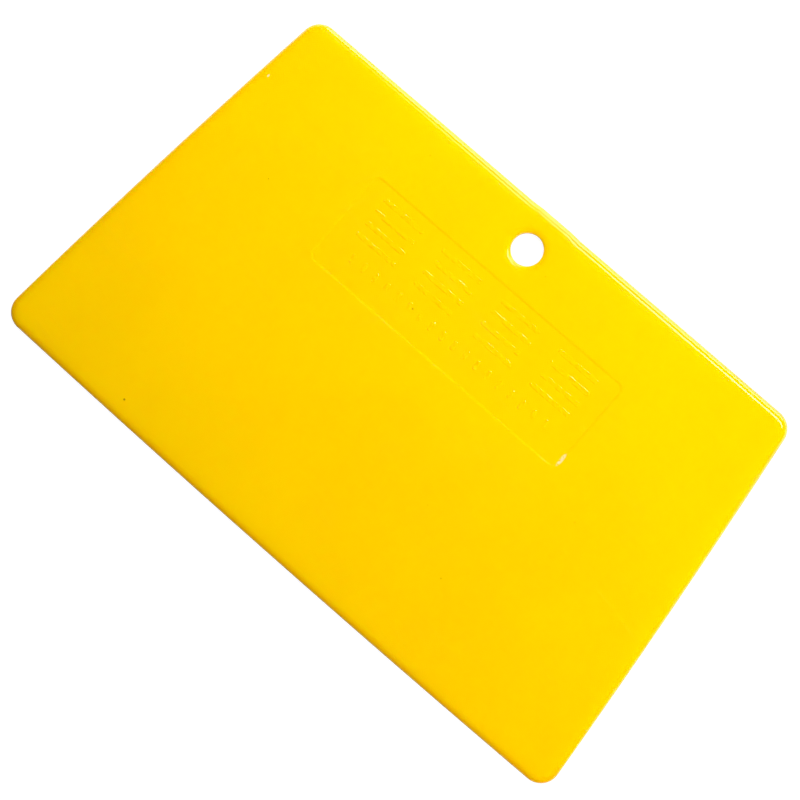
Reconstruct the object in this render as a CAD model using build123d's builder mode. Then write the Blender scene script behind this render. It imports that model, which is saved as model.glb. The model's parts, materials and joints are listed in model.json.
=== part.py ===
"""Squeegee applicator: a hand-held plastic card for pressing film flat, moulded as one piece.

The card is a shallow trapezoid. Its longer edge is the thin working edge, and its shorter edge is the
thick one that is held, with a hang hole through it. The front face slopes down towards the working
edge, and carries a sunk panel with raised grip bars and a row of pips. The back face is flat.

Frame: millimetres. The back face is z = 0 and +Z points out of the front face. +X runs along the long
edges and +Y points at the hang hole. The origin is under the middle of the bounding box.
"""

from build123d import *
from math import atan, cos, degrees, radians, sin
import os

# Outline, between the sharp corners that the corner radius then rounds off.
WORKING_EDGE = 133.35
HELD_EDGE = 112.75
HEIGHT = 79.5
WORKING_BOW = 0.70  # how far the middle of the working edge stands out past its two corners
SIDE_BOW = 0.45
CORNER_RADIUS = 3.7

# Section.
HELD_THICKNESS = 3.0
WORKING_THICKNESS = 1.6
EDGE_RADIUS = 0.7

# Trimmed stub on the held edge, where the plastic entered the mould.
GATE_WIDTH = 9.5
GATE_DEPTH = 1.5
GATE_PROUD = 0.15
GATE_DRAFT = 30

# Hang hole.
HOLE_RADIUS = 3.0
HOLE_INSET = 7.3  # from the held edge to the hole's centre
HOLE_RIM_RADIUS = 0.9

# Sunk panel on the front face.
PANEL_WIDTH = 58.9
PANEL_HEIGHT = 19.2
PANEL_INSET = 14.7  # from the held edge to the panel's near edge
PANEL_CORNER = 1.4
PANEL_DEPTH = 0.1
PANEL_DRAFT = 40

# Raised relief on the panel's floor: blocks of grip bars, and a row of pips nearer the working edge.
BLOCKS = 4
BLOCK_PITCH = 13.9
BARS_PER_BLOCK = 4
BAR_LENGTH = 9.4
BAR_WIDTH = 1.0
BAR_PITCH = 2.6
BARS_ABOVE_MIDDLE = 3.2
PIPS = 18
PIP_PITCH = 2.7
PIP_LENGTH = 2.0
PIP_WIDTH = 0.8
PIPS_BELOW_MIDDLE = 4.7
RELIEF_HEIGHT = 0.09
RELIEF_DRAFT = 25

# Places worked out from those sizes.
HELD_Y = (HEIGHT + WORKING_BOW - GATE_PROUD) / 2
WORKING_Y = HELD_Y - HEIGHT
SLOPE = (HELD_THICKNESS - WORKING_THICKNESS) / (HEIGHT + WORKING_BOW)
TILT = degrees(atan(SLOPE))
HOLE_Y = HELD_Y - HOLE_INSET
PANEL_Y = HELD_Y - PANEL_INSET - PANEL_HEIGHT / 2


def front_plane(y, below=0.0):
    """The plane of the sloping front face, with its origin over y, sunk by the given depth."""
    z = HELD_THICKNESS - SLOPE * (HELD_Y - y)
    normal = (0, -sin(radians(TILT)), cos(radians(TILT)))
    return Plane(origin=(0, y, z), x_dir=(1, 0, 0), z_dir=normal).offset(-below)


with BuildPart() as squeegee_card:
    # Flat blank: the long edge and both sides bow gently outwards, and the held edge is straight.
    with BuildSketch(Plane.XY):
        with BuildLine():
            held_left, held_right = (-HELD_EDGE / 2, HELD_Y), (HELD_EDGE / 2, HELD_Y)
            working_left, working_right = (-WORKING_EDGE / 2, WORKING_Y), (WORKING_EDGE / 2, WORKING_Y)
            Line(held_left, held_right)
            SagittaArc(held_right, working_right, SIDE_BOW)
            SagittaArc(working_right, working_left, WORKING_BOW)
            SagittaArc(working_left, held_left, SIDE_BOW)
        make_face()
        fillet(vertices(), radius=CORNER_RADIUS)
    extrude(amount=HELD_THICKNESS)

    # The front face slopes down from the held edge to the working edge.
    split(bisect_by=front_plane(HELD_Y), keep=Keep.BOTTOM)

    # Both rims are rounded all the way round, so no edge can mark the film.
    front_rim = faces().sort_by(Axis.Z)[-1].edges()
    back_rim = faces().sort_by(Axis.Z)[0].edges()
    fillet(front_rim + back_rim, radius=EDGE_RADIUS)

    # Stub of the trimmed gate, on the flat of the held edge.
    with BuildSketch(Plane.XZ.offset(-HELD_Y)):
        with Locations((0, HELD_THICKNESS / 2)):
            SlotOverall(GATE_WIDTH, GATE_DEPTH)
    extrude(amount=-GATE_PROUD, taper=GATE_DRAFT)

    # Hang hole, with both of its rims rounded over.
    with Locations((0, HOLE_Y)):
        Hole(radius=HOLE_RADIUS)
    hole_rims = edges(Select.LAST).filter_by(GeomType.LINE, reverse=True)
    fillet(hole_rims, radius=HOLE_RIM_RADIUS)

    # Sunk panel with drafted walls.
    with BuildSketch(front_plane(PANEL_Y)):
        RectangleRounded(PANEL_WIDTH, PANEL_HEIGHT, PANEL_CORNER)
    extrude(amount=-PANEL_DEPTH, taper=PANEL_DRAFT, mode=Mode.SUBTRACT)

    # Blocks of grip bars and the row of pips stand on the panel's floor, lower than the front face.
    with BuildSketch(front_plane(PANEL_Y, below=PANEL_DEPTH)):
        with Locations((0, BARS_ABOVE_MIDDLE)):
            with GridLocations(BLOCK_PITCH, BAR_PITCH, BLOCKS, BARS_PER_BLOCK):
                SlotOverall(BAR_LENGTH, BAR_WIDTH)
        with Locations((0, -PIPS_BELOW_MIDDLE)):
            with GridLocations(PIP_PITCH, 1, PIPS, 1):
                SlotOverall(PIP_LENGTH, PIP_WIDTH, rotation=90)
    extrude(amount=RELIEF_HEIGHT, taper=RELIEF_DRAFT)

squeegee_card.part.label = "squeegee_card"

os.makedirs("parts", exist_ok=True)
export_step(squeegee_card.part, "parts/squeegee_card.step")
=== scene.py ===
"""Squeegee applicator: the looks of a one-piece yellow plastic card, in metres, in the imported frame.

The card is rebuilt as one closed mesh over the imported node: a crowned front face whose rim rounds over
to the parting line, a hang hole with soft lips, a shallow sunk panel with grip bars and pips, a trimmed
gate on the held edge, and a flat back. Lengths below are in millimetres until MM turns them to metres.
"""

import json
import math

import bpy
from mathutils import Euler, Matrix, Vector, noise
from mathutils.geometry import delaunay_2d_cdt


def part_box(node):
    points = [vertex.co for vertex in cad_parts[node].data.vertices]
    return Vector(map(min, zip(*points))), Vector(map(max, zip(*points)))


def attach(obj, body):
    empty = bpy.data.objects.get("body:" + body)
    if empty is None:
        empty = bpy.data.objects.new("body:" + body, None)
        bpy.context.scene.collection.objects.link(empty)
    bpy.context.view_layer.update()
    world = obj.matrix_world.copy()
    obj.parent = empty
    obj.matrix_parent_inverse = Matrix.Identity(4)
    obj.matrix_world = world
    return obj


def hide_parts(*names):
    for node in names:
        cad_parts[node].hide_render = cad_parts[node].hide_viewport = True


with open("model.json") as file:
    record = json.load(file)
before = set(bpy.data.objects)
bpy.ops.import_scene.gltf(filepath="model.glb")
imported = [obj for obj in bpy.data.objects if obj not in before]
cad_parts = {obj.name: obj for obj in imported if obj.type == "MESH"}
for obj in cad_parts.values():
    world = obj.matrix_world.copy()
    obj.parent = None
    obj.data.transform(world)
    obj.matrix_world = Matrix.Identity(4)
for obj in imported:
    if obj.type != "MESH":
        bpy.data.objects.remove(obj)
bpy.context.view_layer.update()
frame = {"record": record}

MM = 0.001
CARD_NODE = "squeegee_card"

# The card's outline, between the sharp corners.
WORKING_EDGE = 133.35
HELD_EDGE = 112.75
HEIGHT = 79.5
WORKING_BOW = 0.70
SIDE_BOW = 0.45
HELD_BOW = 0.02  # all but straight
CORNER_RADIUS = 3.7
GATE_PROUD = 0.15

# The card's section.
HELD_THICKNESS = 3.0
WORKING_THICKNESS = 1.6

# Rim roundings: each is a quarter of a superellipse, WIDTH across the face and POWER in fullness. The
# first ring is FACE_ANGLE round from the face, as there the curve is all but level with it.
FACE_ANGLE = 2.0
FRONT_RIM_WIDTH = 4.0
FRONT_RIM_POWER = 3.0
FRONT_RIM_SHARE = 0.58  # the part of the thickness that is in front of the parting line
BACK_RIM_WIDTH = 1.0
BACK_RIM_POWER = 2.0
PARTING_RIDGE = 0.03
PARTING_WIDTH = 0.12
PARTING_SHAPE = ((1, 0), (0.4, 1), (-0.4, 1), (-1, 0))  # half widths up, and share of the ridge out
GATE_MIDDLE = 0.8
GATE_HALF_WIDTH = 3.4
GATE_RAMP = 2.2
GATE_NEAR = 1.0  # the gate only shapes points this close to the held edge
GATE_SHARPENS = 0.28  # share by which the rim rounding gets narrower at the gate

# Hang hole lips.
FRONT_LIP_WIDTH = 1.6
FRONT_LIP_DROP = 0.65
FRONT_LIP_POWER = 2.0
BACK_LIP_WIDTH = 0.9

# Sunk panel and its relief.
PANEL_WIDTH = 58.9
PANEL_HEIGHT = 19.2
PANEL_INSET = 14.7
PANEL_CORNER = 1.4
PANEL_DEPTH = 0.1
PANEL_WALL = 0.5
BLOCKS = 4
BLOCK_PITCH = 13.9
BARS_PER_BLOCK = 4
BAR_LENGTH = 9.4
BAR_WIDTH = 1.0
BAR_PITCH = 2.6
BARS_ABOVE_MIDDLE = 3.2
PIPS = 18
PIP_PITCH = 2.7
PIP_LENGTH = 2.0
PIP_WIDTH = 0.8
PIPS_BELOW_MIDDLE = 4.7
RELIEF_HEIGHT = 0.09
RELIEF_WALL = 0.15
RELIEF_FOOT = 0.06
RELIEF_SPINE = 0.01  # the width left between a ridge's two rounded ends
BARS_LEFT = 0.2  # share of a bar's height that the worn mould leaves, on average
PIPS_LEFT = 0.6
RELIEF_WEAR = 3.0  # how unevenly it does so
RELIEF_WORN_EVERY = 0.7

# Shrinkage: a trough where the panel starts, and a slow wave over the whole front.
TROUGH_Y = 25.5
TROUGH_DEPTH = 0.06
TROUGH_SPREAD = 3.5
TROUGH_HALF_LENGTH = 26.0
WAVE_HEIGHT = 0.03
WAVE_LENGTH = 30.0

# Ejector pin marks on the back.
PIN_RADIUS = 2.5
PIN_DEPTH = 0.05
PIN_WALL = 0.15
PIN_X = 44.0
PIN_Y = 20.0

# How finely the surfaces are cut.
OUTLINE_STEP = 1.2
CORNER_STEPS = 16
RIM_RINGS = 18
LIP_RINGS = 12
BACK_RINGS = 9
HOLE_STEPS = 80
PIN_STEPS = 40
WALL_RINGS = 7
WALL_MARGIN = 0.2  # a ring this share of the wall's width beyond its top and its foot keeps both crisp
RING_CLEARANCE = 0.45  # share of a grid's step that its points keep from every ring
BOX_CORNER_STEPS = 8
FACE_STEP = 2.0
FLOOR_STEP = 1.5
RELIEF_STEP = 0.35
BACK_STEP = 4.0
SAME_POINT = 1e-7

mounts = {m["name"]: m for m in frame["record"]["mounts"]}
HOLE_RADIUS = mounts["hang_hole"]["dims"]["r_mm"]
HOLE_Y = mounts["hang_hole"]["pos_m"][1] / MM
low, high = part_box(CARD_NODE)
HELD_Y = high.y / MM - GATE_PROUD
WORKING_Y = HELD_Y - HEIGHT
PANEL_Y = HELD_Y - PANEL_INSET - PANEL_HEIGHT / 2
SLOPE = (HELD_THICKNESS - WORKING_THICKNESS) / (HEIGHT + WORKING_BOW)


def smooth(t):
    """0 below t = 0, 1 above t = 1, and an S between."""
    t = min(1.0, max(0.0, t))
    return t * t * (3 - 2 * t)


def wedge_height(y):
    """The front face's height over the back face, before any rounding or shrinkage."""
    return HELD_THICKNESS - SLOPE * (HELD_Y - y)


def front_height(x, y):
    """The front face's height with its shrinkage, before any rounding."""
    across = math.exp(-((y - TROUGH_Y) / TROUGH_SPREAD) ** 2 / 2)
    along = math.exp(-((x / TROUGH_HALF_LENGTH) ** 4))
    wave = noise.noise(Vector((x, y, 0)) / WAVE_LENGTH)
    return wedge_height(y) - TROUGH_DEPTH * across * along + WAVE_HEIGHT * wave


def superellipse(steps, power):
    """Pairs (share in from the edge, share of full height) from the face to the vertical edge."""
    pairs = []
    for i in range(steps + 1):
        angle = math.radians(FACE_ANGLE + (90 - FACE_ANGLE) * i / steps)
        across = math.sin(angle) ** (2 / power)
        up = max(0.0, math.cos(angle)) ** (2 / power)
        pairs.append((1 - across, up))
    return pairs


class Skin:
    """The card's surface, gathered ring by ring. Every ring runs anticlockwise seen from the front.

    Each point also has a rim value: 1 on the card's outermost edge, 0 on its faces.
    """

    def __init__(self):
        self.points = []
        self.rim = []
        self.faces = []

    def ring(self, points, rim=0.0):
        first = len(self.points)
        self.points.extend(points)
        self.rim.extend([rim] * len(points))
        return list(range(first, len(self.points)))

    def bridge(self, outer, inner):
        """Quads between two rings of the same count, facing the viewer when outer is outside inner."""
        count = len(outer)
        for i in range(count):
            j = (i + 1) % count
            self.faces.append((outer[i], outer[j], inner[j], inner[i]))

    def fill(self, outer, holes, height, step, facing=1):
        """Triangles inside the outer ring and outside the holes, on a grid of the given step."""
        loops = [outer] + holes
        flat = [[Vector(self.points[i][:2]) for i in loop] for loop in loops]
        inside = grid_inside(flat[0], flat[1:], step)
        coords = [p for loop in flat for p in loop] + inside
        edges, first = [], 0
        for loop in flat:
            count = len(loop)
            edges += [(first + i, first + (i + 1) % count) for i in range(count)]
            first += count
        made = delaunay_2d_cdt(coords, edges, [], 1, SAME_POINT)
        known = [i for loop in loops for i in loop]
        known += self.ring([(p.x, p.y, height(p.x, p.y)) for p in inside])
        hole_of = {v: number for number, hole in enumerate(holes) for v in hole}
        for face in made[2]:
            corners = [known[made[3][v][0]] for v in face]
            # The holes are convex, so a triangle with every corner on one hole's ring fills that hole.
            owners = {hole_of.get(v) for v in corners}
            if len(owners) == 1 and None not in owners:
                continue
            turn = signed_area([self.points[v] for v in corners])
            if turn * facing < 0:
                corners.reverse()
            self.faces.append(tuple(corners))


def signed_area(corners):
    """Twice the area of a polygon seen from the front, positive when it runs anticlockwise."""
    total = 0.0
    for i, a in enumerate(corners):
        b = corners[(i + 1) % len(corners)]
        total += a[0] * b[1] - a[1] * b[0]
    return total


def is_inside(p, loop):
    """Whether a point is inside a closed loop of points."""
    inside = False
    for i, a in enumerate(loop):
        b = loop[i - 1]
        if (a.y > p.y) != (b.y > p.y):
            if p.x < (b.x - a.x) * (p.y - a.y) / (b.y - a.y) + a.x:
                inside = not inside
    return inside


def grid_inside(outer, holes, step):
    """Staggered grid points inside outer, outside the holes and clear of every ring."""
    clear = (RING_CLEARANCE * step) ** 2
    rings = [p for loop in [outer] + holes for p in loop]
    columns = {}
    for p in rings:
        columns.setdefault((round(p.x / step), round(p.y / step)), []).append(p)
    left, right = min(p.x for p in outer), max(p.x for p in outer)
    bottom, top = min(p.y for p in outer), max(p.y for p in outer)
    found = []
    rows = int((top - bottom) / step)
    for row in range(1, rows):
        y = bottom + (top - bottom) * row / rows
        across = int((right - left) / step)
        for column in range(1, across):
            x = left + (right - left) * (column + 0.5 * (row % 2)) / across
            p = Vector((x, y))
            cell = (round(x / step), round(y / step))
            near = [
                q for i in (-1, 0, 1) for j in (-1, 0, 1)
                for q in columns.get((cell[0] + i, cell[1] + j), ())
            ]
            if any((q - p).length_squared < clear for q in near):
                continue
            if is_inside(p, outer) and not any(is_inside(p, hole) for hole in holes):
                found.append(p)
    return found


# Outline.


def bowed_side(start, end, bow):
    """Centre and radius of the arc from start to end, anticlockwise, that stands out by bow."""
    chord = end - start
    radius = chord.length_squared / (8 * bow) + bow / 2
    outward = Vector((chord.y, -chord.x)).normalized()
    return (start + end) / 2 + outward * (bow - radius), radius


def meeting(side_a, side_b, near):
    """The point near a corner where two circles cross."""
    (a, ra), (b, rb) = side_a, side_b
    gap = b - a
    along = (gap.length_squared + ra * ra - rb * rb) / (2 * gap.length)
    across = math.sqrt(ra * ra - along * along)
    unit = gap.normalized()
    foot = a + unit * along
    side = Vector((-unit.y, unit.x)) * across
    return min((foot + side, foot - side), key=lambda p: (p - near).length)


def outline():
    """The rounded outline as (point, inward normal) pairs, anticlockwise from the held edge's left."""
    corners = [
        Vector((-HELD_EDGE / 2, HELD_Y)),
        Vector((-WORKING_EDGE / 2, WORKING_Y)),
        Vector((WORKING_EDGE / 2, WORKING_Y)),
        Vector((HELD_EDGE / 2, HELD_Y)),
    ]
    bows = [SIDE_BOW, WORKING_BOW, SIDE_BOW, HELD_BOW]
    sides = [bowed_side(corners[i], corners[(i + 1) % 4], bows[i]) for i in range(4)]
    # Each corner circle's centre is where the two sides, moved in by the corner radius, cross.
    inner = [(centre, radius - CORNER_RADIUS) for centre, radius in sides]
    centres = [meeting(inner[i - 1], inner[i], corners[i]) for i in range(4)]
    pairs = []
    for i, (side_centre, side_radius) in enumerate(sides):
        # Round the corner, from the last side's normal to this side's.
        before = (centres[i] - sides[i - 1][0]).normalized()
        after = (centres[i] - side_centre).normalized()
        turn = before.angle_signed(after)
        for k in range(CORNER_STEPS):
            normal = rotated(before, -turn * k / CORNER_STEPS)
            pairs.append((centres[i] + normal * CORNER_RADIUS, -normal))
        # Along the side, to where the next corner starts.
        end = (centres[(i + 1) % 4] - side_centre).normalized()
        sweep = after.angle_signed(end)
        steps = max(2, round(abs(sweep) * side_radius / OUTLINE_STEP))
        for k in range(steps):
            normal = rotated(after, -sweep * k / steps)
            pairs.append((side_centre + normal * side_radius, -normal))
    return pairs


def rotated(vector, angle):
    """A flat vector turned anticlockwise."""
    c, s = math.cos(angle), math.sin(angle)
    return Vector((vector.x * c - vector.y * s, vector.x * s + vector.y * c))


def gate_share(point):
    """1 on the trimmed gate near the middle of the held edge, 0 away from it."""
    if point.y < HELD_Y - GATE_NEAR:
        return 0.0
    return 1 - smooth((abs(point.x - GATE_MIDDLE) - GATE_HALF_WIDTH) / GATE_RAMP)


def rim_ring(pairs, inset, height):
    """One ring round the rim, where inset(gate) and height(front, parting) give its place."""
    ring = []
    for point, inward in pairs:
        gate = gate_share(point)
        p = point + inward * (inset(gate) - GATE_PROUD * gate)
        front = front_height(p.x, p.y)
        ring.append((p.x, p.y, height(front, front * (1 - FRONT_RIM_SHARE))))
    return ring


def build_rim(skin, pairs):
    """Rings from the front face over the rim to the back face. Returns the innermost ring of each."""
    rings = []
    for share, up in superellipse(RIM_RINGS, FRONT_RIM_POWER)[:-1]:
        ring = rim_ring(
            pairs,
            lambda gate: share * FRONT_RIM_WIDTH * (1 - GATE_SHARPENS * gate),
            lambda front, parting: parting + (front - parting) * up,
        )
        rings.append(skin.ring(ring, 1 - share))
    for beside, proud in PARTING_SHAPE:
        ring = rim_ring(
            pairs,
            lambda gate: -PARTING_RIDGE * proud,
            lambda front, parting: parting + PARTING_WIDTH / 2 * beside,
        )
        rings.append(skin.ring(ring, 1.0))
    for share, up in reversed(superellipse(BACK_RINGS, BACK_RIM_POWER)[:-1]):
        ring = rim_ring(
            pairs,
            lambda gate: share * BACK_RIM_WIDTH,
            lambda front, parting: parting * (1 - up),
        )
        rings.append(skin.ring(ring, 1 - share))
    for inner, outer in zip(rings, rings[1:]):
        skin.bridge(outer, inner)
    return rings[0], rings[-1]


def circle(centre, radius, height, steps=HOLE_STEPS):
    """A ring round centre, whose height depends on x and y."""
    ring = []
    for i in range(steps):
        angle = 2 * math.pi * i / steps
        x, y = centre.x + radius * math.cos(angle), centre.y + radius * math.sin(angle)
        ring.append((x, y, height(x, y)))
    return ring


def build_hole(skin):
    """Lips and wall of the hang hole. Returns the outermost front ring and the outermost back ring."""
    centre = Vector((0, HOLE_Y))
    rings = []
    for share, up in superellipse(LIP_RINGS, FRONT_LIP_POWER):
        drop = FRONT_LIP_DROP * (1 - up)
        radius = HOLE_RADIUS + FRONT_LIP_WIDTH * share
        rings.append(skin.ring(circle(centre, radius, lambda x, y: front_height(x, y) - drop)))
    for share, up in reversed(superellipse(BACK_RINGS, BACK_RIM_POWER)):
        rise = BACK_LIP_WIDTH * (1 - up)
        radius = HOLE_RADIUS + BACK_LIP_WIDTH * share
        rings.append(skin.ring(circle(centre, radius, lambda x, y: rise)))
    for outer, inner in zip(rings, rings[1:]):
        skin.bridge(outer, inner)
    return rings[0], rings[-1]


def build_pin_mark(skin, centre):
    """A shallow round ejector pin mark in the back face. Returns its outermost ring."""
    rings = [skin.ring(circle(centre, PIN_RADIUS + PIN_WALL, lambda x, y: 0.0, PIN_STEPS))]
    for k in range(WALL_RINGS + 1):
        sunk = PIN_DEPTH * smooth(k / WALL_RINGS)
        radius = PIN_RADIUS - PIN_WALL * k / WALL_RINGS
        rings.append(skin.ring(circle(centre, radius, lambda x, y: sunk, PIN_STEPS)))
    for outer, inner in zip(rings, rings[1:]):
        skin.bridge(inner, outer)
    skin.fill(rings[-1], [], lambda x, y: PIN_DEPTH, FLOOR_STEP, facing=-1)
    return rings[0]


def rounded_box(centre, width, height, radius, step):
    """A rounded rectangle as flat points, anticlockwise, none of them twice."""
    half_w, half_h = width / 2 - radius, height / 2 - radius
    signs = ((1, 1), (-1, 1), (-1, -1), (1, -1))
    points = []
    for i, (sx, sy) in enumerate(signs):
        middle = centre + Vector((sx * half_w, sy * half_h))
        for k in range(BOX_CORNER_STEPS + 1):
            angle = math.pi / 2 * (i + k / BOX_CORNER_STEPS)
            points.append(middle + Vector((math.cos(angle), math.sin(angle))) * radius)
        # The straight run to the next corner, cut into steps.
        nx, ny = signs[(i + 1) % 4]
        run = centre + Vector((nx * half_w, ny * half_h)) - middle
        cuts = int(run.length / step)
        points += [points[-1] + run * (k / cuts) for k in range(1, cuts)]
    return points


def inset_box(centre, width, height, radius, inset, step):
    """A rounded rectangle moved in by inset all round, with a point for each point of the outer one."""
    half_w, half_h = width / 2 - radius, height / 2 - radius
    moved = []
    for p in rounded_box(centre, width, height, radius, step):
        offset = p - centre
        core = Vector((min(half_w, max(-half_w, offset.x)), min(half_h, max(-half_h, offset.y))))
        moved.append(p - (offset - core).normalized() * inset)
    return moved


def panel_floor(x, y):
    return front_height(x, y) - PANEL_DEPTH


def build_panel(skin):
    """Walls, floor and relief of the sunk panel. Returns its outermost ring on the front face."""
    centre = Vector((0, PANEL_Y))
    wall = [(k / WALL_RINGS, smooth(k / WALL_RINGS)) for k in range(WALL_RINGS + 1)]
    rings = []
    for across, down in [(-WALL_MARGIN, 0.0)] + wall + [(1 + WALL_MARGIN, 1.0)]:
        inset = PANEL_WALL * (across - 0.5)
        loop = inset_box(centre, PANEL_WIDTH, PANEL_HEIGHT, PANEL_CORNER, inset, FLOOR_STEP)
        sunk = [(p.x, p.y, front_height(p.x, p.y) - PANEL_DEPTH * down) for p in loop]
        rings.append(skin.ring(sunk))
    for outer, inner in zip(rings, rings[1:]):
        skin.bridge(outer, inner)
    feet = []
    for block in range(BLOCKS):
        x = (block - (BLOCKS - 1) / 2) * BLOCK_PITCH
        for bar in range(BARS_PER_BLOCK):
            y = PANEL_Y + BARS_ABOVE_MIDDLE + (bar - (BARS_PER_BLOCK - 1) / 2) * BAR_PITCH
            feet.append(build_ridge(skin, Vector((x, y)), BAR_LENGTH, BAR_WIDTH, BARS_LEFT))
    for pip in range(PIPS):
        middle = Vector(((pip - (PIPS - 1) / 2) * PIP_PITCH, PANEL_Y - PIPS_BELOW_MIDDLE))
        feet.append(build_ridge(skin, middle, PIP_WIDTH, PIP_LENGTH, PIPS_LEFT))
    skin.fill(rings[-1], feet, panel_floor, FLOOR_STEP)
    return rings[0]


def build_ridge(skin, centre, width, height, left):
    """One round-ended ridge on the panel's floor, lower where the mould's engraving is worn.

    Returns the ring round its foot.
    """
    radius = min(width, height) / 2 - RELIEF_SPINE
    wall = [(RELIEF_WALL * k / WALL_RINGS, smooth(k / WALL_RINGS)) for k in range(WALL_RINGS + 1)]

    def surface(x, y, up=1.0):
        share = left + RELIEF_WEAR * noise.noise(Vector((x, y, 0)) / RELIEF_WORN_EVERY)
        return panel_floor(x, y) + RELIEF_HEIGHT * smooth(share) * up

    rings = []
    for inset, up in [(-RELIEF_FOOT, 0.0)] + wall:
        loop = inset_box(centre, width, height, radius, inset, RELIEF_STEP)
        rings.append(skin.ring([(p.x, p.y, surface(p.x, p.y, up)) for p in loop]))
    for outer, inner in zip(rings, rings[1:]):
        skin.bridge(outer, inner)
    skin.fill(rings[-1], [], surface, RELIEF_STEP)
    return rings[0]


def build_card():
    """The whole card as one closed mesh object in metres."""
    skin = Skin()
    front_rim, back_rim = build_rim(skin, outline())
    front_hole, back_hole = build_hole(skin)
    panel = build_panel(skin)
    pins = [build_pin_mark(skin, Vector((x, y))) for x in (-PIN_X, PIN_X) for y in (-PIN_Y, PIN_Y)]
    skin.fill(front_rim, [front_hole, panel], front_height, FACE_STEP)
    skin.fill(back_rim, [back_hole] + pins, lambda x, y: 0.0, BACK_STEP, facing=-1)
    mesh = bpy.data.meshes.new("squeegee_card_body")
    mesh.from_pydata([Vector(p) * MM for p in skin.points], [], skin.faces)
    mesh.attributes.new("rim", "FLOAT", "POINT").data.foreach_set("value", skin.rim)
    mesh.update()
    mesh.polygons.foreach_set("use_smooth", [True] * len(mesh.polygons))
    card = bpy.data.objects.new("squeegee_card_body", mesh)
    bpy.context.scene.collection.objects.link(card)
    return card


# Node building.


class Nodes:
    """Short forms for the nodes of one material or world. A value is a number, a colour or a socket."""

    def __init__(self, tree):
        self.tree = tree
        tree.nodes.clear()

    def put(self, socket, value):
        if isinstance(value, bpy.types.NodeSocket):
            self.tree.links.new(value, socket)
        else:
            socket.default_value = value

    def add(self, kind, **values):
        node = self.tree.nodes.new("ShaderNode" + kind)
        for name, value in values.items():
            self.put(node.inputs[name.replace("_", " ")], value)
        return node

    def math(self, operation, *values):
        node = self.add("Math")
        node.operation = operation
        for socket, value in zip(node.inputs, values):
            self.put(socket, value)
        return node.outputs[0]

    def product(self, first, *others):
        for other in others:
            first = self.math("MULTIPLY", first, other)
        return first

    def total(self, first, *others):
        for other in others:
            first = self.math("ADD", first, other)
        return first

    def vector(self, operation, *values):
        node = self.add("VectorMath")
        node.operation = operation
        for socket, value in zip(node.inputs, values):
            self.put(socket, value)
        return node.outputs[1 if operation in ("LENGTH", "DISTANCE", "DOT_PRODUCT") else 0]

    def ramp(self, value, start, end, low=0.0, high=1.0):
        """A smooth step: low at start and before it, high at end and after it."""
        node = self.add("MapRange", Value=value)
        node.interpolation_type = "SMOOTHSTEP"
        limits = {"From Min": start, "From Max": end, "To Min": low, "To Max": high}
        for name, limit in limits.items():
            node.inputs[name].default_value = limit
        return node.outputs["Result"]

    def noise(self, at, every, detail=2.0):
        """Noise from 0 to 1 around 0.5, with features about every so many millimetres."""
        node = self.add("TexNoise", Vector=at, Scale=1 / every, Detail=detail)
        return node.outputs["Fac"]

    def blend(self, share, a, b):
        """The colour a, turned into b as share goes from 0 to 1."""
        node = self.add("MixRGB", Fac=share, Color1=a, Color2=b)
        return node.outputs["Color"]

    def switch(self, share, a, b):
        """The shader a, turned into b as share goes from 0 to 1."""
        node = self.add("MixShader", Fac=share)
        self.put(node.inputs[1], a)
        self.put(node.inputs[2], b)
        return node.outputs["Shader"]

    def millimetres(self):
        """Where the shaded point is, in millimetres in the card's frame."""
        place = self.add("TexCoord").outputs["Object"]
        return self.vector("DIVIDE", place, (MM, MM, MM))

    def finish(self, kind, shader):
        self.put(self.add(kind).inputs["Surface"], shader)


def new_material(name):
    material = bpy.data.materials.new(name)
    material.use_nodes = True
    return material, Nodes(material.node_tree)


# The plastic. Sizes and depths are in millimetres.

YELLOW = (0.90, 0.565, 0.0, 1)
DEEP_YELLOW = (0.855, 0.515, 0.0, 1)
# The amber colour below is painted shade: a tint on the rim, most on the working edge that faces away
# from the lamps.
RIM_PAINTED_SHADE = (0.83, 0.40, 0.0, 1)
STRESS_PALE = (0.96, 0.74, 0.22, 1)
SPECK_BROWN = (0.20, 0.09, 0.005, 1)
SCUFF_PEACH = (0.93, 0.66, 0.30, 1)

# Each RANGE below is the two noise values between which a mark fades in.
FLOW_SIZE = 26.0
FLOW_RANGE = (0.35, 0.65)
FLOW_SHARE = 0.35
GRAIN_SIZE = 0.7
GRAIN_RANGE = (0.3, 0.7)
GRAIN_SHARE = 0.06
RIM_SHADE_FROM = 0.6  # the rim value where the painted shade, an amber tint, starts
SIDE_RIM_SHADE = 0.22  # how strong the painted rim shade is on the sides
HELD_RIM_SHADE = 0.05  # and on the thick held edge, where the painted shade is faint
THICK_FROM = HELD_Y - 5
THICK_FULL = HELD_Y - 2
WORKING_RIM_SHADE = 0.55  # and stronger on the thin working edge, which faces away from the lamps
THIN_FROM = WORKING_Y + 9
THIN_FULL = WORKING_Y + 2

GLOSS = 0.07  # roughness of the clean plastic
SMUDGE_SIZE = 9.0
SMUDGE_RANGE = (0.45, 0.7)
SMUDGE_DULLS = 0.04
FINE_SIZE = 0.4
FINE_RANGE = (0.3, 0.7)
FINE_DULLS = 0.02
PEEL_SIZE = 1.6
PEEL_DEPTH = 0.0008
TEXTURE_SIZE = 0.22
TEXTURE_DEPTH = 0.00006

REFRACTIVE_INDEX = 1.49
REFLECTS = 1.0  # strength of the reflection, where 0.5 is a plain surface of that index
SCATTERS = 0.5  # share of the light that goes into the plastic and comes out beside where it went in
SCATTER_REACH = (1.5, 0.9, 0.3)  # how far red, green and blue go, against SCATTER_SCALE
SCATTER_SCALE = 0.2

WEAR_FROM = 0.86  # the rim value where wear starts
WEAR_PATCH = 3.5
WEAR_RANGE = (0.42, 0.66)
WEAR_PALES = 0.12
WEAR_DULLS = 0.12
NICK_SIZE = 0.6
NICK_DEPTH = 0.008

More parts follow.
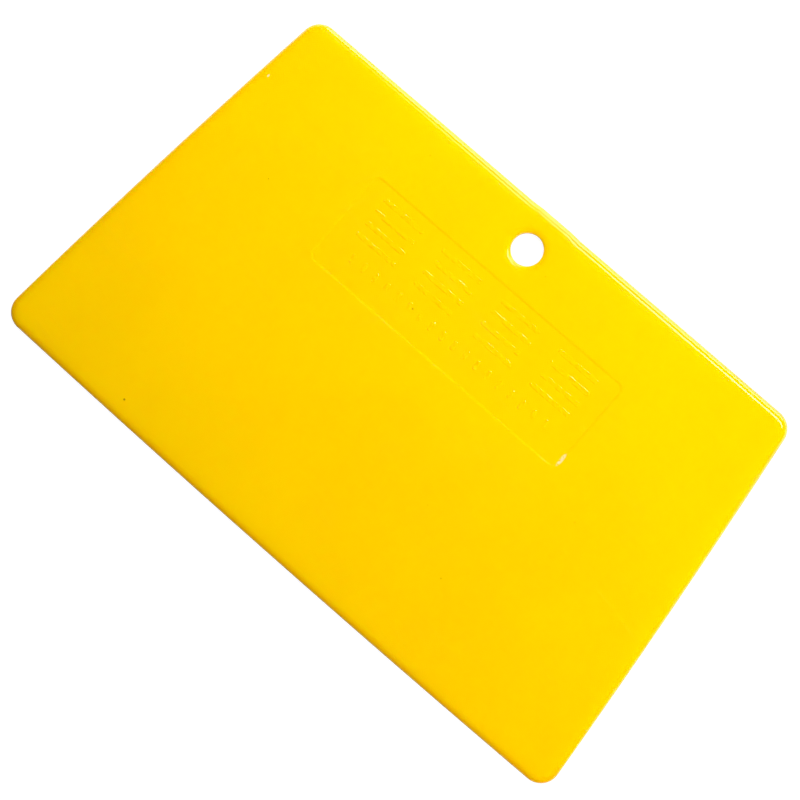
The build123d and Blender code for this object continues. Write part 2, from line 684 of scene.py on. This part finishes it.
LINE_PATCH = 14.0
LINE_RANGE = (0.45, 0.62)
LINE_SOFTNESS = 0.06
LINES = ((12, 0.09, 22.0, 0.70), (-64, 0.07, 15.0, 0.71))  # angle, width, length, rarity
LINE_PALES = 0.02
LINE_DULLS = 0.10
LINE_DEPTH = 0.0003

SCUFFS = ((29.4, 8.2, 0.42, 1.7), (-56.4, 26.1, 0.22, 0.4))  # x, y, half width, half length
SCUFF_CORE = 0.55  # share of a patch's reach that is rubbed all through
SCUFF_GRAIN = 0.5
SCUFF_RANGE = (0.3, 0.5)
SCUFF_DULLS = 0.4
SCUFF_DEPTH = 0.01

SPECK_SHARE = 0.8
SPECK_CORE = 0.4  # share of a speck's radius that is fully dark
SPECKS = (  # x, y, radius
    (-38.4, -36.3, 0.28),
    (-8.7, 11.2, 0.20),
    (-44.2, 11.9, 0.13),
    (27.1, -22.4, 0.14),
    (5.7, 31.2, 0.09),
    (16.6, -13.9, 0.10),
    (38.6, 1.3, 0.10),
    (-24.3, 34.2, 0.10),
)


def hairlines(n, at, angle, width, length, rarity):
    """Fine straight scratches at an angle, 1 on a scratch and 0 beside it."""
    turned = n.add("VectorRotate", Vector=at, Angle=math.radians(angle)).outputs[0]
    stretched = n.vector("MULTIPLY", turned, (1 / length, 1 / width, 1.0))
    lines = n.add("TexNoise", Vector=stretched, Scale=1.0, Detail=0.0).outputs["Fac"]
    patches = n.ramp(n.noise(at, LINE_PATCH), *LINE_RANGE)
    return n.product(n.ramp(lines, rarity, rarity + LINE_SOFTNESS), patches)


def scuffs(n, at):
    """1 in the rubbed patches, broken up by fine noise."""
    found = 0.0
    for x, y, half_width, half_length in SCUFFS:
        offset = n.vector("SUBTRACT", at, (x, y, 0))
        flat = n.vector("MULTIPLY", offset, (1 / half_width, 1 / half_length, 0))
        found = n.math("MAXIMUM", found, n.ramp(n.vector("LENGTH", flat), 1.0, SCUFF_CORE))
    return n.product(found, n.ramp(n.noise(at, SCUFF_GRAIN, 3.0), *SCUFF_RANGE))


def specks(n, at):
    """1 in the few dark inclusions that show on the front."""
    found = 0.0
    for x, y, radius in SPECKS:
        offset = n.vector("MULTIPLY", n.vector("SUBTRACT", at, (x, y, 0)), (1, 1, 0))
        spot = n.ramp(n.vector("LENGTH", offset), radius, SPECK_CORE * radius)
        found = n.math("MAXIMUM", found, spot)
    return found


def card_plastic():
    """Glossy moulded plastic: yellow with faint flow mottling, orange peel, hairlines and rim wear, and
    amber painted shade on the rim.
    """
    material, n = new_material("card_plastic")
    at = n.millimetres()
    rim_node = n.add("Attribute")
    rim_node.attribute_name = "rim"
    rim = rim_node.outputs["Fac"]
    patchy = n.ramp(n.noise(at, WEAR_PATCH, 4.0), *WEAR_RANGE)
    worn = n.product(n.ramp(rim, WEAR_FROM, 1.0), patchy)
    scuffed = scuffs(n, at)
    dots = specks(n, at)
    lines = n.math("MAXIMUM", *[hairlines(n, at, *line) for line in LINES])
    y = n.add("SeparateXYZ", Vector=at).outputs["Y"]
    # Painted shade: how far the rim goes to amber, most on the thin working edge that faces away from the
    # lamps.
    thick_shade = n.ramp(y, THICK_FROM, THICK_FULL, SIDE_RIM_SHADE, HELD_RIM_SHADE)
    thin_shade = n.ramp(y, THIN_FROM, THIN_FULL, 0.0, WORKING_RIM_SHADE)
    rim_shade = n.product(n.ramp(rim, RIM_SHADE_FROM, 1.0), n.total(thick_shade, thin_shade))

    flow = n.ramp(n.noise(at, FLOW_SIZE, 3.0), *FLOW_RANGE, 0.0, FLOW_SHARE)
    grain = n.ramp(n.noise(at, GRAIN_SIZE, 3.0), *GRAIN_RANGE, 0.0, GRAIN_SHARE)
    colour = n.blend(n.total(flow, grain), YELLOW, DEEP_YELLOW)
    # Painted shade: the amber tint on the rim.
    colour = n.blend(rim_shade, colour, RIM_PAINTED_SHADE)
    colour = n.blend(n.product(worn, WEAR_PALES), colour, STRESS_PALE)
    colour = n.blend(n.product(lines, LINE_PALES), colour, STRESS_PALE)
    colour = n.blend(scuffed, colour, SCUFF_PEACH)
    colour = n.blend(n.product(dots, SPECK_SHARE), colour, SPECK_BROWN)

    smudges = n.ramp(n.noise(at, SMUDGE_SIZE, 5.0), *SMUDGE_RANGE, 0.0, SMUDGE_DULLS)
    fine = n.ramp(n.noise(at, FINE_SIZE, 2.0), *FINE_RANGE, 0.0, FINE_DULLS)
    dulled = n.total(
        n.product(worn, WEAR_DULLS), n.product(lines, LINE_DULLS), n.product(scuffed, SCUFF_DULLS),
    )
    roughness = n.total(GLOSS, smudges, fine, dulled)

    peel = n.product(n.noise(at, PEEL_SIZE, 1.0), PEEL_DEPTH)
    texture = n.product(n.noise(at, TEXTURE_SIZE, 1.0), TEXTURE_DEPTH)
    nicks = n.product(worn, n.noise(at, NICK_SIZE, 2.0), -NICK_DEPTH)
    scratches = n.total(n.product(lines, -LINE_DEPTH), n.product(scuffed, -SCUFF_DEPTH))
    height = n.total(peel, texture, nicks, scratches)
    bump = n.add("Bump", Strength=1.0, Distance=MM, Height=height)

    shader = n.add(
        "BsdfPrincipled", Base_Color=colour, Roughness=roughness, Normal=bump.outputs[0],
        IOR=REFRACTIVE_INDEX, Specular_IOR_Level=REFLECTS,
        Subsurface_Weight=SCATTERS, Subsurface_Radius=SCATTER_REACH, Subsurface_Scale=SCATTER_SCALE * MM,
    )
    n.finish("OutputMaterial", shader.outputs[0])
    return material


# Studio. Distances are in metres.

PAPER = (0.75, 0.75, 0.75, 1)
PAPER_GLOW = 1.2
PAPER_SHADED = 0.2  # share of the paper's look that takes shadows
FLOOR_REACH = 4.0
FLOOR_GAP = 0.02 * MM  # keeps the floor clear of the card's back face
WHITE = (1, 1, 1, 1)
WORLD_FILL = 0.05
HORIZON_GLOW = 0.36
HORIZON_RISE = 0.4  # how high the horizon's glow reaches, as the sine of its elevation
FADE_START = -0.26  # the places along X between which a reflector changes brightness
FADE_END = 0.13


def studio_floor():
    """Pale paper: white to the camera with hardly a shadow, and a plain matt white to everything else."""
    material, n = new_material("studio_floor")
    path = n.add("LightPath")
    paper = n.add("BsdfDiffuse", Color=PAPER).outputs[0]
    lit = n.add("Emission", Strength=PAPER_GLOW).outputs[0]
    seen = n.switch(PAPER_SHADED, lit, paper)
    n.finish("OutputMaterial", n.switch(path.outputs["Is Camera Ray"], paper, seen))
    return material


def add_floor():
    mesh = bpy.data.meshes.new("floor")
    corners = [(x * FLOOR_REACH, y * FLOOR_REACH, 0) for x, y in ((-1, -1), (1, -1), (1, 1), (-1, 1))]
    mesh.from_pydata(corners, [], [(0, 1, 2, 3)])
    floor = bpy.data.objects.new("floor", mesh)
    bpy.context.scene.collection.objects.link(floor)
    floor.location.z = -FLOOR_GAP
    mesh.materials.append(studio_floor())


def aimed(lean, swing, distance):
    """A place on a sphere round the card, lean off the vertical on a bearing from +Y towards +X."""
    lean, swing = math.radians(lean), math.radians(swing)
    flat = Vector((math.sin(swing), math.cos(swing), 0)) * math.sin(lean)
    return (flat + Vector((0, 0, math.cos(lean)))) * distance


def add_softbox(name, lean, swing, distance, side, brightness):
    """A square area light pointing at the card. It lights matt surfaces and doesn't show in the gloss."""
    light = bpy.data.lights.new(name, "AREA")
    light.size = side
    light.energy = brightness * math.pi * side * side
    lamp = bpy.data.objects.new(name, light)
    lamp.location = aimed(lean, swing, distance)
    lamp.rotation_euler = lamp.location.to_track_quat("Z", "Y").to_euler()
    lamp.visible_glossy = False
    lamp.visible_camera = False
    bpy.context.scene.collection.objects.link(lamp)


def reflector_glow(name, left, right):
    """Light that goes from one brightness at FADE_START to another at FADE_END along X."""
    material, n = new_material(name)
    across = n.add("SeparateXYZ", Vector=n.add("NewGeometry").outputs["Position"]).outputs["X"]
    lit = n.add("Emission", Strength=n.ramp(across, FADE_START, FADE_END, left, right))
    n.finish("OutputMaterial", lit.outputs[0])
    material.cycles.emission_sampling = "NONE"
    return material


def add_reflector(name, lean, swing, distance, size, left, right):
    """A glowing sheet facing the card. It shows in the gloss and nowhere else."""
    place = aimed(lean, swing, distance)
    turn = place.to_track_quat("Z", "Y")
    corners = [(-1, -1), (1, -1), (1, 1), (-1, 1)]
    points = [place + turn @ Vector((x * size[0] / 2, y * size[1] / 2, 0)) for x, y in corners]
    mesh = bpy.data.meshes.new(name)
    mesh.from_pydata(points, [], [(0, 1, 2, 3)])
    mesh.materials.append(reflector_glow(name, left, right))
    sheet = bpy.data.objects.new(name, mesh)
    sheet.visible_camera = False
    sheet.visible_diffuse = False
    sheet.visible_transmission = False
    sheet.visible_shadow = False
    bpy.context.scene.collection.objects.link(sheet)


def add_world():
    """Pale to the camera, a soft fill on matt surfaces, and in the gloss dark above and pale low down."""
    world = bpy.data.worlds.new("studio")
    bpy.context.scene.world = world
    world.use_nodes = True
    world.cycles.sampling_method = "NONE"
    n = Nodes(world.node_tree)
    path = n.add("LightPath")
    rise = n.add("SeparateXYZ", Vector=n.add("TexCoord").outputs["Generated"]).outputs["Z"]
    seen = n.add("Background", Color=WHITE, Strength=PAPER_GLOW * (1 - PAPER_SHADED)).outputs[0]
    fill = n.add("Background", Color=WHITE, Strength=WORLD_FILL).outputs[0]
    glow = n.ramp(rise, HORIZON_RISE, 0.0, 0.0, HORIZON_GLOW)
    mirrored = n.add("Background", Color=WHITE, Strength=glow).outputs[0]
    unseen = n.switch(path.outputs["Is Glossy Ray"], fill, mirrored)
    n.finish("OutputWorld", n.switch(path.outputs["Is Camera Ray"], unseen, seen))


# Camera: above the front face and nearly square to it, turned so the working edge runs down to the right.
CAMERA_DISTANCE = 380.0 * MM
CAMERA_PITCH = math.radians(5.07)
CAMERA_YAW = math.radians(-4.27)
CAMERA_ROLL = math.radians(-41.09)
CAMERA_SHIFT = Vector((1.82, 2.37, 0)) * MM
CAMERA_LENS = 93.85
CAMERA_SENSOR = 36.0
CAMERA_NEAR = 0.01
CAMERA_FAR = 20.0


def add_camera():
    data = bpy.data.cameras.new("camera")
    data.lens = CAMERA_LENS
    data.sensor_width = CAMERA_SENSOR
    data.clip_start = CAMERA_NEAR
    data.clip_end = CAMERA_FAR
    camera = bpy.data.objects.new("camera", data)
    turn = Euler((-CAMERA_PITCH, -CAMERA_YAW, -CAMERA_ROLL), "ZYX").to_matrix()
    back = Vector((0, 0, CAMERA_DISTANCE)) - CAMERA_SHIFT
    camera.matrix_world = turn.to_4x4()
    camera.location = turn @ back
    bpy.context.scene.collection.objects.link(camera)
    bpy.context.scene.camera = camera


card = build_card()
card.data.materials.append(card_plastic())
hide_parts(CARD_NODE)
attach(card, "root")

add_floor()
add_world()
add_softbox("key", lean=30, swing=-2, distance=0.30, side=0.14, brightness=15.1)
add_softbox("left", lean=66, swing=-45, distance=0.32, side=0.15, brightness=6.9)
add_softbox("right", lean=66, swing=92, distance=0.32, side=0.15, brightness=11.4)
add_softbox("front", lean=80, swing=180, distance=0.60, side=0.20, brightness=2.2)
add_reflector("strip", lean=37.3, swing=10, distance=1.0, size=(1.0, 0.16), left=0.3, right=5.8)
add_reflector("window", lean=73, swing=0, distance=0.8, size=(0.75, 0.28), left=3.9, right=3.9)
add_camera()
bpy.context.scene.view_settings.view_transform = "Standard"
